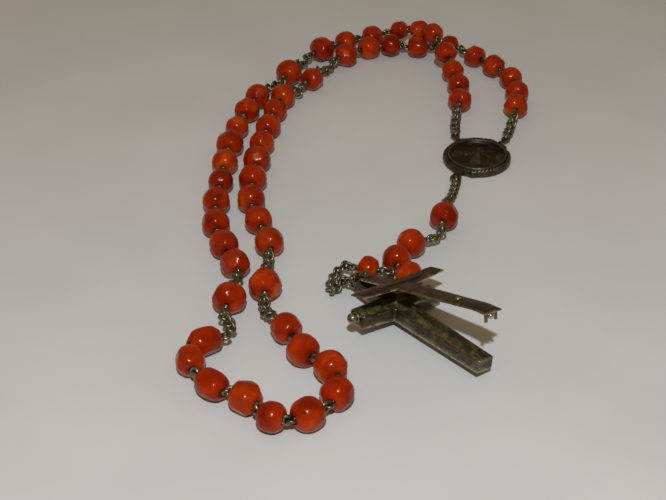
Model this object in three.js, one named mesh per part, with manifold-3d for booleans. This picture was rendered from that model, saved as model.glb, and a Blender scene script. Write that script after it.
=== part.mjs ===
// A coral rosary laid out on a table: five decades, an oval centre medal, a short pendant
// and a hollow cross whose hinged lid stands ajar. Millimetres, +Z up.
// The origin is the centre of the medal's flat back, which lies on the table.
import * as THREE from 'three';
import { mergeVertices } from 'three/addons/utils/BufferGeometryUtils.js';
import Module from 'manifold-3d';

const wasm = await Module();
wasm.setup();

// Beads: an Ave bead is small, a Pater bead is large. Length is measured along the bore.
const AVE = { diameter: 6.5, length: 5.6 };
const PATER = { diameter: 7.3, length: 6.6 };
const SMALL_PATER = { diameter: 6.7, length: 6.2 };
const LAST_PATER = { diameter: 5.9, length: 4.5 };
const BORE_RADIUS = 0.6;
const BARREL = { endFace: 0.52, shoulder: 0.4 };
const BEAD_SIDES = 9;

// Silver wire: eye pins through the beads, with a closed eye at each end.
const PIN_RADIUS = 0.3;
const PIN_STUB = 0.35;
const PIN_INSET = 0.4;
const WIRE_SIDES = 4;
const EYE_RADIUS = 0.9;
const EYE_WIRE = 0.3;
const EYE_SIDES = 8;
const EYE_ROUND = 3;
const LINK_RADIUS = 1.1;
const LINK_THICKNESS = 0.6;
const LINK_SIDES = 6;
const LINK_CLEARANCE = 0.3;

// Spacer chains: a twisted square bar with an eye at each end.
const SPACER_SIDE = 1.15;
const SPACER_TWIST = 1.2;
const SPACER_STEP = 2.3;

// Oval medal.
const MEDAL = { halfWidth: 8.6, halfHeight: 9.4, rim: 1.7, plate: 1.2, depth: 2.1, yaw: -13 };
const MEDAL_SIDES = 28;
const LUG = { height: 1.35, radius: 0.48, rootAt: 0.35 };

// Hollow cross. Its local frame has +X from the hinge to the foot, +Y along arm B and +Z out
// of the open side. Its head end is at X = 0.
// Its arms taper from `root` to `tip`, both half widths.
const CROSS = { head: 10.8, foot: 36.8, armA: 10.8, armB: 11.3, root: 2.6, tip: 2.0, toe: 2.0 };
const TRAY = { depth: 2.95, wall: 0.5 };
const CROSS_PLACE = { at: [-30.8, -62.6, 1.81], yaw: -50.3, roll: -8.5 };
const LID = { thickness: 0.6, headAt: 1.2, overhang: 0.9, armA: 11.1, armB: 11.7, toe: 2.3 };
const LID_GAP = 0.3;
const LID_OPEN = 15.2;
const HINGE = { x: -0.95, z: 3.15, radius: 0.85, bore: 0.45, pin: 0.3 };
const KNUCKLE = { inner: 0.65, outerFrom: 0.95, outerTo: 2.2, webFrom: 1.65, webTo: 2.65 };
const PIN_HEAD = { radius: 0.6, length: 0.4, clearance: 0.15 };
const BAIL = { foot: [-0.3, -0.6, 1.3], radius: 0.42 };
const RIVET = { x: 28.2, topRadius: 0.35, baseRadius: 0.5, height: 0.4 };
const CATCH = { setBack: 0.25, thickness: 0.5, low: -2.1, high: 1.2, drop: 1.2, prongDrop: 2.0 };
const PRONG = { width: 0.6, top: 1 };
const CATCH_BALL = { radius: 0.6, forward: 0.65, side: -0.9, drop: 0.75 };
const FINIAL = { radius: 1.15, gap: 0.05, rise: 0.6 };
const SEAT_GAP = 0.03;

// Chain joints: the place where two eyes interlock, and the heading in degrees from the eye
// nearer the medal to the eye further from it.
const JOIN = {
  medalRight: { at: [8.5, 9.7, 1.4], heading: 75 },
  toDecade1: { at: [11.8, 20.5, 3.25], heading: 75 },
  fromDecade1: { at: [-35.8, 56.1, 3.25], heading: 230 },
  toPater1: { at: [-40.4, 47.3, 3.65], heading: 270 },
  fromPater1: { at: [-45.5, 37.2, 3.65], heading: 250 },
  toDecade2: { at: [-48.7, 35.1, 3.25], heading: 200 },
  fromDecade2: { at: [-51.0, -49.6, 3.25], heading: 270 },
  toPater2: { at: [-51.3, -57.5, 3.65], heading: 270 },
  fromPater2: { at: [-51.1, -68.3, 3.65], heading: 270 },
  toDecade3: { at: [-49.0, -74.4, 3.25], heading: 305 },
  fromDecade3: { at: [-57.9, -81.2, 3.25], heading: 0 },
  spacer6End: { at: [-57.5, -79.0, 3.25], heading: 270 },
  medalLeft: { at: [-4.6, 11.6, 1.4], heading: 84 },
  toDecade5: { at: [-3.0, 24.4, 3.25], heading: 80 },
  fromDecade5: { at: [-43.4, 59.3, 3.25], heading: 230 },
  toPater4: { at: [-47.4, 51.5, 3.65], heading: 270 },
  fromPater4: { at: [-51.2, 41.1, 3.65], heading: 270 },
  toDecade4: { at: [-55.8, 35.2, 3.25], heading: 240 },
  fromDecade4: { at: [-57.5, -58.4, 3.25], heading: 270 },
  toPater3: { at: [-58.0, -62.8, 3.65], heading: 270 },
  fromPater3: { at: [-59.0, -73.5, 3.65], heading: 270 },
  medalBottom: { at: [-6.4, -12.3, 1.4], heading: 270 },
  toPater5: { at: [-10.1, -29.0, 3.65], heading: 270 },
  fromPater5: { at: [-11.9, -39.4, 3.65], heading: 270 },
  toPendantAves: { at: [-14.5, -43.4, 3.2], heading: 215 },
  toPater6: { at: [-25.2, -56.7, 3.0], heading: 167 },
  fromPater6: { at: [-33.0, -54.9, 3.0], heading: 167 },
  toCross: { at: [-32.8, -61.1, 3.0], heading: 309.7 },
};

// Bead centres, hand laid along each strand.
const DECADE_1 = [
  [12.8, 25.1], [14.2, 34.0], [13.6, 43.3], [9.7, 51.6], [4.9, 58.8],
  [-2.0, 66.5], [-11.5, 65.7], [-19.6, 66.8], [-26.1, 64.8], [-32.9, 59.1],
].map(([x, y]) => [x, y, AVE.diameter / 2]);
const DECADE_2 = [
  [-50.5, 30.8], [-52.4, 22.4], [-53.8, 12.7], [-55.0, 3.3], [-55.8, -6.0],
  [-56.3, -15.8], [-56.2, -25.9], [-54.0, -35.4], [-51.1, -45.1],
].map(([x, y]) => [x, y, AVE.diameter / 2]);
// The last bead of the third decade lies skewed on its wire; its third number is its heading.
const DECADE_3 = [
  [-46.2, -78.4], [-42.7, -85.8], [-37.2, -91.4], [-36.0, -99.5], [-41.4, -105.7],
  [-48.1, -106.5], [-53.2, -100.8], [-59.9, -96.7], [-64.7, -89.1], [-62.4, -82.7, 30],
].map(([x, y, heading]) => [x, y, AVE.diameter / 2, heading]);
const DECADE_4 = [
  [-57.5, 30.8], [-59.9, 22.4], [-62.0, 12.7], [-63.1, 2.4], [-63.8, -7.2],
  [-64.1, -16.6], [-64.4, -26.6], [-63.7, -37.0], [-61.2, -46.2], [-58.2, -54.2],
].map(([x, y]) => [x, y, AVE.diameter / 2]);
const DECADE_5 = [
  [-2.0, 28.9, 3.25], [-1.6, 38.6, 3.35], [-2.6, 47.0, 3.8], [-4.2, 54.9, 6.0], [-7.3, 63.6, 8.4],
  [-10.9, 71.8, 6.2], [-16.6, 75.7, 4.4], [-24.8, 74.6, 3.25], [-33.0, 70.0, 3.25], [-40.1, 63.0, 3.25],
];
const PENDANT_AVES = [[-19.2, -45.6, 3.25], [-22.7, -52.3, 3.25], [-20.3, -59.1, 3.35]];
const PENDANT_TAIL = [[-22.0, -63.6, 2.0], [-25.0, -60.2, 1.6]];
// The last chain droops past the cross's head and comes back up to its bail.
const LAST_CHAIN = [[-36.3, -55.6, 1.9], [-37.6, -58.6, 1.1], [-36.9, -63.2, 1.1], [-35.2, -59.6, 2.5]];

const coral = new THREE.MeshStandardMaterial({ color: 0xc8321a, roughness: 0.28, metalness: 0 });
const silver = new THREE.MeshStandardMaterial({ color: 0x8a8468, roughness: 0.42, metalness: 1 });
const medalSilver = new THREE.MeshStandardMaterial({ color: 0x5e5750, roughness: 0.45, metalness: 1 });
const crossSilver = new THREE.MeshStandardMaterial({ color: 0x544b3c, roughness: 0.5, metalness: 1 });

const vec = (p) => new THREE.Vector3(p[0], p[1], p[2]);
const UP = new THREE.Vector3(0, 0, 1);
const rosary = new THREE.Group();

// A closed surface as a solid, and a solid back as a surface.
function solidOf(geometry) {
  const bare = geometry.index ? geometry.toNonIndexed() : geometry.clone();
  bare.deleteAttribute('normal');
  bare.deleteAttribute('uv');
  const merged = mergeVertices(bare, 1e-4);
  return new wasm.Manifold(new wasm.Mesh({
    numProp: 3,
    vertProperties: merged.attributes.position.array,
    triVerts: new Uint32Array(merged.index.array),
  }));
}

function geometryOf(solid) {
  const mesh = solid.getMesh();
  const geometry = new THREE.BufferGeometry();
  geometry.setAttribute('position', new THREE.BufferAttribute(mesh.vertProperties, 3));
  geometry.setIndex(new THREE.BufferAttribute(mesh.triVerts, 1));
  const flat = geometry.toNonIndexed();
  flat.computeVertexNormals();
  return flat;
}

function join(geometries) {
  return geometries.map(solidOf).reduce((whole, piece) => whole.add(piece));
}

function addMesh(name, geometry, material, parent = rosary) {
  const mesh = new THREE.Mesh(geometry, material);
  mesh.name = name;
  parent.add(mesh);
  return mesh;
}

// Turns a geometry's +Z towards a direction and moves it to a point.
function orient(geometry, direction, at) {
  const turn = new THREE.Quaternion().setFromUnitVectors(UP, direction.clone().normalize());
  return geometry.applyQuaternion(turn).translate(at.x, at.y, at.z);
}

// Straight round wire between two points.
function rod(from, to, radius, sides = WIRE_SIDES) {
  const along = to.clone().sub(from);
  const bar = new THREE.CylinderGeometry(radius, radius, along.length(), sides).rotateX(Math.PI / 2);
  return orient(bar, along, from.clone().add(to).multiplyScalar(0.5));
}

function wire(points, radius) {
  return points.slice(1).map((point, i) => rod(points[i], point, radius));
}

function ring(centre, normal) {
  return orient(new THREE.TorusGeometry(EYE_RADIUS, EYE_WIRE, EYE_ROUND, EYE_SIDES), normal, centre);
}

// The two interlocked eyes of a chain joint: `inner` is nearer the medal and lies flat,
// `outer` stands upright. `foot` is where each eye's shank starts.
function eyes(join) {
  const angle = THREE.MathUtils.degToRad(join.heading);
  const along = new THREE.Vector3(Math.cos(angle), Math.sin(angle), 0);
  const across = new THREE.Vector3(-along.y, along.x, 0);
  const inner = vec(join.at).addScaledVector(along, -EYE_RADIUS / 2);
  const outer = vec(join.at).addScaledVector(along, EYE_RADIUS / 2);
  return {
    inner: { shape: ring(inner, UP), foot: inner.addScaledVector(along, -EYE_RADIUS) },
    outer: { shape: ring(outer, across), foot: outer.addScaledVector(along, EYE_RADIUS) },
  };
}

// Flat link where two pins meet inside a strand.
function link(middle, across, radius = LINK_RADIUS) {
  const disc = new THREE.CylinderGeometry(radius, radius, LINK_THICKNESS, LINK_SIDES);
  return orient(disc.rotateX(Math.PI / 2), across, middle);
}

// Half profile of a barrel bead, from one end face to the other.
function barrel({ diameter, length }) {
  const r = diameter / 2;
  const h = length / 2;
  const face = BARREL.endFace * r;
  const shoulder = BARREL.shoulder * h;
  return [[face, -h], [r, -shoulder], [r, shoulder], [face, h]];
}

function solidBead(size, centre, axis) {
  const h = size.length / 2;
  const profile = [[0, -h], ...barrel(size), [0, h]].map(([x, y]) => new THREE.Vector2(x, y));
  const shape = new THREE.LatheGeometry(profile, BEAD_SIDES - 1).rotateX(Math.PI / 2);
  return orient(shape, axis, centre);
}

function boredBead(size, centre, axis) {
  const h = size.length / 2;
  const profile = [[BORE_RADIUS, -h], ...barrel(size), [BORE_RADIUS, h], [BORE_RADIUS, -h]];
  const points = profile.map(([x, y]) => new THREE.Vector2(x, y));
  return orient(new THREE.LatheGeometry(points, BEAD_SIDES).rotateX(Math.PI / 2), axis, centre);
}

// Unit direction of the strand at each bead, from its neighbours or the end eyes.
// A bead with a heading of its own keeps that instead.
function axesAlong(centres, start, end, headings = []) {
  const line = [start, ...centres, end];
  return centres.map((_, i) => {
    if (headings[i] === undefined) return line[i + 2].clone().sub(line[i]).normalize();
    const angle = THREE.MathUtils.degToRad(headings[i]);
    return new THREE.Vector3(Math.cos(angle), Math.sin(angle), 0);
  });
}

// Wire between the solid beads of a strand, with a link ring in each gap.
function gapWire(centres, axes, start, end, length) {
  const inset = length * PIN_INSET;
  const shapes = [rod(start, centres[0].clone().addScaledVector(axes[0], -inset), PIN_RADIUS)];
  centres.slice(1).forEach((next, i) => {
    const from = centres[i].clone().addScaledVector(axes[i], inset);
    const to = next.clone().addScaledVector(axes[i + 1], -inset);
    const middle = from.clone().add(to).multiplyScalar(0.5);
    shapes.push(rod(from, to, PIN_RADIUS));
    shapes.push(link(middle, to.clone().sub(from).cross(UP)));
  });
  const last = centres.length - 1;
  shapes.push(rod(centres[last].clone().addScaledVector(axes[last], inset), end, PIN_RADIUS));
  return shapes;
}

// Wire through a strand of loose beads: straight in each bore, with a link ring in each gap.
function strandWire(centres, axes, start, end, length) {
  const shapes = [];
  const exits = centres.map((c, i) => [
    c.clone().addScaledVector(axes[i], -length / 2 - PIN_STUB),
    c.clone().addScaledVector(axes[i], length / 2 + PIN_STUB),
  ]);
  exits.forEach(([near, far], i) => {
    const before = i === 0 ? start : exits[i - 1][1].clone().add(near).multiplyScalar(0.5);
    shapes.push(...wire([before, near, far], PIN_RADIUS));
    if (i === exits.length - 1) {
      shapes.push(rod(far, end, PIN_RADIUS));
      return;
    }
    const gap = exits[i + 1][0].clone().sub(far);
    const middle = far.clone().addScaledVector(gap, 0.5);
    const radius = Math.min(LINK_RADIUS, gap.length() / 2 + PIN_STUB - LINK_CLEARANCE);
    shapes.push(rod(far, middle, PIN_RADIUS));
    shapes.push(link(middle, gap.cross(UP), radius));
  });
  return shapes;
}

// One decade: the beads and their wire as one piece.
function joinedDecade(name, places, from, to) {
  const first = eyes(JOIN[from]).outer;
  const last = eyes(JOIN[to]).inner;
  const centres = places.map(vec);
  const axes = axesAlong(centres, first.foot, last.foot);
  const beads = centres.map((c, i) => solidBead(AVE, c, axes[i]));
  const wires = gapWire(centres, axes, first.foot, last.foot, AVE.length);
  addMesh(name, geometryOf(join([first.shape, last.shape, ...wires, ...beads])), coral);
}

// A strand with every bead loose on its wire. A twisted tail can follow the last bead.
function looseStrand(name, places, from, to, tail = []) {
  const first = eyes(JOIN[from]).outer;
  const last = eyes(JOIN[to]).inner;
  const centres = places.map(vec);
  const stops = tail.map(vec);
  const end = stops.length > 0 ? stops[0] : last.foot;
  const axes = axesAlong(centres, first.foot, end, places.map((place) => place[3]));
  const wires = strandWire(centres, axes, first.foot, end, AVE.length);
  const bars = stops.slice(1).map((stop, i) => twistedBar(stops[i], stop));
  if (stops.length > 0) bars.push(rod(stops.at(-1), last.foot, PIN_RADIUS));
  addMesh(`${name}_wire`, geometryOf(join([first.shape, last.shape, ...wires, ...bars])), silver);
  centres.forEach((c, i) => {
    const number = String(i + 1).padStart(2, '0');
    addMesh(`${name}_bead_${number}`, boredBead(AVE, c, axes[i]), coral);
  });
}

// One bead loose on its own eye pin, halfway between the two joints.
function pinnedBead(name, size, from, to) {
  const first = eyes(JOIN[from]).outer;
  const last = eyes(JOIN[to]).inner;
  const centre = first.foot.clone().add(last.foot).multiplyScalar(0.5);
  const axis = last.foot.clone().sub(first.foot);
  const pin = rod(first.foot, last.foot, PIN_RADIUS);
  addMesh(`${name}_pin`, geometryOf(join([first.shape, last.shape, pin])), silver);
  addMesh(`${name}_bead`, boredBead(size, centre, axis), coral);
}

// Square bar twisted about its own length.
function twistedBar(from, to) {
  const along = to.clone().sub(from);
  const steps = Math.max(1, Math.round(along.length() / SPACER_STEP));
  const bar = new THREE.BoxGeometry(SPACER_SIDE, SPACER_SIDE, along.length(), 1, 1, steps);
  const position = bar.attributes.position;
  for (let i = 0; i < position.count; i += 1) {
    const turned = new THREE.Vector3().fromBufferAttribute(position, i);
    turned.applyAxisAngle(UP, (turned.z / SPACER_STEP) * SPACER_TWIST);
    position.setXYZ(i, turned.x, turned.y, turned.z);
  }
  return orient(bar, along, from.clone().add(to).multiplyScalar(0.5));
}

// Spacer chain from one joint to the next, resting on the table between them.
function spacer(name, from, to, via = []) {
  const first = eyes(JOIN[from]).outer;
  const last = eyes(JOIN[to]).inner;
  const stops = [first.foot, ...via.map(vec), last.foot];
  const bars = stops.slice(1).map((stop, i) => twistedBar(stops[i], stop));
  addMesh(name, geometryOf(join([first.shape, last.shape, ...bars])), silver);
}

function ellipse(halfWidth, halfHeight) {
  const points = [];
  for (let i = 0; i < MEDAL_SIDES; i += 1) {
    const a = (i / MEDAL_SIDES) * Math.PI * 2;
    points.push(new THREE.Vector2(halfWidth * Math.cos(a), halfHeight * Math.sin(a)));
  }
  return points;
}

function medal() {
  const { halfWidth, halfHeight, rim, plate, depth, yaw } = MEDAL;
  const outline = new THREE.Shape(ellipse(halfWidth, halfHeight));
  const field = new THREE.Shape(ellipse(halfWidth - rim, halfHeight - rim));
  const turn = THREE.MathUtils.degToRad(yaw);
  const block = new THREE.ExtrudeGeometry(outline, { depth, bevelEnabled: false }).rotateZ(turn);
  const recess = new THREE.ExtrudeGeometry(field, { depth, bevelEnabled: false }).rotateZ(turn);
  recess.translate(0, 0, plate);
  const lugs = ['medalRight', 'medalLeft', 'medalBottom'].map((place) => {
    const lug = eyes(JOIN[place]).inner;
    const centre = new THREE.Vector3(0, 0, LUG.height);
    const root = lug.foot.clone().lerp(centre, LUG.rootAt);
    return [lug.shape, rod(lug.foot, root, LUG.radius)];
  });
  const body = solidOf(block).subtract(solidOf(recess)).add(join(lugs.flat()));
  addMesh('medal', geometryOf(body), medalSilver);
}

// Tapered cross outline with its head at x = from and its foot at x = to.
function crossOutline(from, to, inset, armA, armB, toe) {
  const w = CROSS.root - inset;
  const t = CROSS.tip - inset;
  const c = CROSS.head;
  const f = toe - inset;
  return new THREE.Shape([
    [from, -t], [c - w, -w], [c - t, -armA], [c + t, -armA], [c + w, -w],
    [to, -f], [to, f], [c + w, w], [c + t, armB], [c - t, armB], [c - w, w], [from, t],
  ].map(([x, y]) => new THREE.Vector2(x, y)));
}

// Hinge knuckle with its bore along local Y, between two distances.
function knuckle(low, high) {
  const length = high - low;
  const body = new THREE.CylinderGeometry(HINGE.radius, HINGE.radius, length, 10);
  const bore = new THREE.CylinderGeometry(HINGE.bore, HINGE.bore, length * 2, 8);
  [body, bore].forEach((g) => g.translate(HINGE.x, (low + high) / 2, HINGE.z));
  return { body: solidOf(body), bore: solidOf(bore) };
}

function box(x, y, z) {
  const shape = new THREE.BoxGeometry(x[1] - x[0], y[1] - y[0], z[1] - z[0]);
  return shape.translate((x[0] + x[1]) / 2, (y[0] + y[1]) / 2, (z[0] + z[1]) / 2);
}

function crossTray(parent) {
  const { foot, armA, armB, toe } = CROSS;
  const { depth, wall } = TRAY;
  const outer = crossOutline(0, foot, 0, armA, armB, toe);
  const inner = crossOutline(wall, foot - wall, wall, armA - wall, armB - wall, toe);
  const shell = solidOf(new THREE.ExtrudeGeometry(outer, { depth, bevelEnabled: false }));
  const hollow = new THREE.ExtrudeGeometry(inner, { depth, bevelEnabled: false });
  let tray = shell.subtract(solidOf(hollow.translate(0, 0, wall)));
  [[KNUCKLE.outerFrom, KNUCKLE.outerTo], [-KNUCKLE.outerTo, -KNUCKLE.outerFrom]].forEach(([low, high]) => {
    const ear = knuckle(low, high);
    const web = box([HINGE.x, wall / 2], [low, high], [KNUCKLE.webFrom, KNUCKLE.webTo]);
    tray = tray.add(ear.body).add(solidOf(web)).subtract(ear.bore);
  });
  addMesh('cross_tray', geometryOf(tray), crossSilver, parent);
}

// Bail: a wire loop standing on the tray's head end, hooked through the last chain's eye.
function crossBail(parent) {
  const eye = eyes(JOIN.toCross).outer;
  parent.updateMatrixWorld(true);
  const toLocal = parent.matrixWorld.clone().invert();
  const start = eye.foot.clone().applyMatrix4(toLocal);
  const bail = join([eye.shape.applyMatrix4(toLocal), rod(start, vec(BAIL.foot), BAIL.radius)]);
  addMesh('cross_bail', geometryOf(bail), crossSilver, parent);
}

function crossLid(parent) {
  const low = TRAY.depth + LID_GAP;
  const shape = crossOutline(LID.headAt, CROSS.foot + LID.overhang, 0, LID.armA, LID.armB, LID.toe);
  const plate = new THREE.ExtrudeGeometry(shape, { depth: LID.thickness, bevelEnabled: false });
  const ear = knuckle(-KNUCKLE.inner, KNUCKLE.inner);
  const inner = [-KNUCKLE.inner, KNUCKLE.inner];
  const tongue = solidOf(box([HINGE.x, LID.headAt + 1], inner, [low + 0.05, low + LID.thickness - 0.05]));
  const lid = solidOf(plate.translate(0, 0, low)).add(ear.body).add(tongue).subtract(ear.bore);
  addMesh('cross_lid', geometryOf(lid), crossSilver, parent);
  const { topRadius, baseRadius, height } = RIVET;
  const rivet = new THREE.CylinderGeometry(topRadius, baseRadius, height, 8).rotateX(Math.PI / 2);
  rivet.translate(RIVET.x, 0, low + LID.thickness + SEAT_GAP + height / 2);
  addMesh('lid_rivet', rivet, silver, parent);
  addMesh('lid_catch', geometryOf(lidCatch(low - SEAT_GAP)), crossSilver, parent);
}

// Catch under the lid's foot: a plate that laps the tray's end, two prongs and a ball.
function lidCatch(top) {
  const face = CROSS.foot + CATCH.setBack;
  const span = [face, face + CATCH.thickness];
  const plate = box(span, [CATCH.low, CATCH.high], [top - CATCH.drop, top]);
  const prongs = [CATCH.low, CATCH.high - PRONG.width].map((y) => (
    box(span, [y, y + PRONG.width], [top - CATCH.prongDrop, top - PRONG.top])
  ));
  const ball = new THREE.SphereGeometry(CATCH_BALL.radius, 8, 6);
  ball.translate(face + CATCH_BALL.forward, CATCH_BALL.side, top - CATCH_BALL.drop);
  return join([plate, ...prongs, ball]);
}

function hingePin(parent) {
  const { radius, length, clearance } = PIN_HEAD;
  const reach = KNUCKLE.outerTo + clearance;
  const shank = new THREE.CylinderGeometry(HINGE.pin, HINGE.pin, reach * 2, 8);
  const heads = [-1, 1].map((side) => new THREE.CylinderGeometry(radius, radius, length, 8)
    .translate(0, side * (reach + length / 2), 0));
  const pin = geometryOf(join([shank, ...heads])).translate(HINGE.x, 0, HINGE.z);
  addMesh('cross_hinge_pin', pin, silver, parent);
}

function cross() {
  const placed = new THREE.Group();
  const { at, yaw, roll } = CROSS_PLACE;
  const { degToRad } = THREE.MathUtils;
  placed.position.set(...at);
  placed.rotation.set(degToRad(roll), 0, degToRad(yaw), 'ZXY');
  rosary.add(placed);
  crossTray(placed);
  crossBail(placed);
  hingePin(placed);
  const finial = new THREE.SphereGeometry(FINIAL.radius, 10, 7);
  const reach = CROSS.armA + FINIAL.radius + FINIAL.gap;
  finial.translate(CROSS.head, -reach, TRAY.depth / 2 + FINIAL.rise);
  addMesh('arm_finial', finial, silver, placed);
  const swing = new THREE.Group();
  swing.position.set(HINGE.x, 0, HINGE.z);
  swing.rotation.y = -degToRad(LID_OPEN);
  const lidFrame = new THREE.Group();
  lidFrame.position.set(-HINGE.x, 0, -HINGE.z);
  swing.add(lidFrame);
  placed.add(swing);
  crossLid(lidFrame);
}

medal();
spacer('spacer_01', 'medalRight', 'toDecade1', [[10.2, 15.5, 1.0]]);
joinedDecade('decade_1', DECADE_1, 'toDecade1', 'fromDecade1');
spacer('spacer_02', 'fromDecade1', 'toPater1', [[-38.6, 51.4, 1.4]]);
pinnedBead('pater_1', SMALL_PATER, 'toPater1', 'fromPater1');
spacer('spacer_03', 'fromPater1', 'toDecade2', [[-46.6, 34.8, 2.4]]);
joinedDecade('decade_2', DECADE_2, 'toDecade2', 'fromDecade2');
spacer('spacer_04', 'fromDecade2', 'toPater2', [[-51.1, -53.6, 1.6]]);
pinnedBead('pater_2', PATER, 'toPater2', 'fromPater2');
spacer('spacer_05', 'fromPater2', 'toDecade3', [[-50.6, -71.6, 1.8]]);
looseStrand('decade_3', DECADE_3, 'toDecade3', 'fromDecade3');
spacer('spacer_06', 'fromPater3', 'spacer6End');
pinnedBead('pater_3', PATER, 'toPater3', 'fromPater3');
spacer('spacer_07', 'fromDecade4', 'toPater3');
joinedDecade('decade_4', DECADE_4, 'toDecade4', 'fromDecade4');
spacer('spacer_08', 'fromPater4', 'toDecade4');
pinnedBead('pater_4', PATER, 'toPater4', 'fromPater4');
spacer('spacer_09', 'fromDecade5', 'toPater4', [[-45.8, 55.3, 1.6]]);
joinedDecade('decade_5', DECADE_5, 'toDecade5', 'fromDecade5');
spacer('spacer_10', 'medalLeft', 'toDecade5', [[-4.3, 17.2, 1.0]]);
spacer('spacer_11', 'medalBottom', 'toPater5', [[-8.0, -20.5, 1.0]]);
pinnedBead('pater_5', SMALL_PATER, 'toPater5', 'fromPater5');
spacer('spacer_12', 'fromPater5', 'toPendantAves');
looseStrand('pendant', PENDANT_AVES, 'toPendantAves', 'toPater6', PENDANT_TAIL);
pinnedBead('pater_6', LAST_PATER, 'toPater6', 'fromPater6');
spacer('spacer_13', 'fromPater6', 'toCross', LAST_CHAIN);
cross();

export default rosary;
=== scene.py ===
"""A coral rosary laid out on a pale table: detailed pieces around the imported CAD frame.

All shapes are given in millimetres in the object's own frame and stored in metres.
"""

import math
import random

import bmesh
import bpy
from mathutils import Matrix, Vector, noise


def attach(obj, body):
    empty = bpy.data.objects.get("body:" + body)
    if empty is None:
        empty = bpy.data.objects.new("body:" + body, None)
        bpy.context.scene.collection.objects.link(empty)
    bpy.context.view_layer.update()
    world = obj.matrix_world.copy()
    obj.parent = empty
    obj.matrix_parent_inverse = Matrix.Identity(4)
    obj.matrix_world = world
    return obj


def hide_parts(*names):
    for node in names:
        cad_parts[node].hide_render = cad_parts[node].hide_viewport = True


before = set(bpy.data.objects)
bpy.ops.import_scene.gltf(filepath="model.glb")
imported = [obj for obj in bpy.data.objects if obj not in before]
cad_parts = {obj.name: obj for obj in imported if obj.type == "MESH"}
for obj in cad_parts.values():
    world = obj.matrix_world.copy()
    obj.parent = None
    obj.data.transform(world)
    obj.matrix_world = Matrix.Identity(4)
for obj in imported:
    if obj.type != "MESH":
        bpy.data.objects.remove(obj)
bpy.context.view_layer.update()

MM = 0.001
UP = Vector((0, 0, 1))

# Beads: (across, along the bore). A decade's beads run away from the medal.
PATER_SIZES = {
    1: (6.3, 5.9), 2: (7.3, 6.6), 3: (7.2, 6.0), 4: (7.3, 6.6), 5: (6.7, 6.3), 6: (5.9, 4.5),
}
PENDANT_SIZES = [(6.6, 6.2), (6.5, 5.9), (6.3, 5.7)]
AVE_SIZES = {
    1: [
        (6.7, 5.7), (6.5, 5.8), (6.4, 5.6), (6.5, 5.8), (6.4, 5.7),
        (6.3, 5.6), (6.5, 6.2), (6.6, 6.0), (6.6, 6.1), (6.9, 6.2),
    ],
    2: [
        (6.9, 6.2), (6.5, 6.2), (6.7, 6.4), (6.5, 6.2), (7.0, 6.6),
        (6.9, 6.4), (6.9, 6.4), (6.4, 6.2), (6.6, 6.3),
    ],
    3: [
        (6.5, 6.0), (6.6, 6.0), (6.7, 6.2), (6.7, 6.4), (6.7, 6.3),
        (6.0, 5.5), (6.7, 6.3), (5.9, 7.4), (6.0, 6.8), (5.9, 7.1),
    ],
    4: [
        (6.9, 6.1), (6.7, 6.2), (6.1, 6.0), (7.2, 6.5), (6.5, 6.0),
        (6.1, 6.0), (6.6, 6.6), (6.6, 6.5), (6.6, 6.2), (6.6, 6.0),
    ],
    5: [
        (6.6, 5.7), (6.3, 5.7), (6.3, 5.7), (6.3, 5.8), (6.0, 5.6),
        (5.8, 5.4), (5.7, 5.4), (6.2, 6.0), (6.2, 5.9), (7.3, 6.6),
    ],
}
SPIN_HEIGHT = 3.25  # of the axis that a loose bead of decade 3 spins about
BORE = 0.4  # radius
EXIT_INSET = 0.12  # how far inside a bead's end the free part of its pin starts
BEAD_SIDES, BEAD_ROWS = 42, 22
BEAD_POLE = 69  # degrees from a bead's middle to the edge of its flat end
FACET_DEPTHS = [0.045, 0.06, 0.075, 0.09]  # share of the bead's radius
FACET_FLATNESS = 0.97

# Pins: radii of the eyes and of the wire, and the wire wound round a shank.
EYE_RADIUS, EYE_WIRE = 0.9, 0.32
PIN_WIRE = 0.3
WRAP_OFFSET, WRAP_WIRE, WRAP_PITCH, MOST_TURNS = 0.18, 0.2, 0.42, 3
SHORTEST_SHANK = 0.25  # that is wound round
LARGEST_GAP_EYE = 1.1
GAP_EYE, TIGHT_GAP_EYE = 0.86, 0.74  # smallest eyes between two beads
TIGHT_STRANDS = ("d2", "d4")
LOOSE_END_EYE = {"radius": 0.8, "wire": 0.42}  # decade 3's last, at the opened pivot

# Chains: half length and half width of a link, its wire, the step from link to link, and how far
# each end of a link is turned, in radians.
LINK, LINK_WIRE, LINK_PITCH, LINK_TWIST = (1.2, 1.12), 0.34, 1.28, 0.6
TAIL_LINK, TAIL_WIRE = (1.0, 0.95), 0.3
FINE_CHAINS = {11: 0.88, 12: 0.78, 13: 0.85}  # size of these spacers' links against the others'
LOOSE_CHAIN, LOOSE_LINK = 6, (0.95, 0.8)  # the spacer at the opened pivot, and its extra last link

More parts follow.
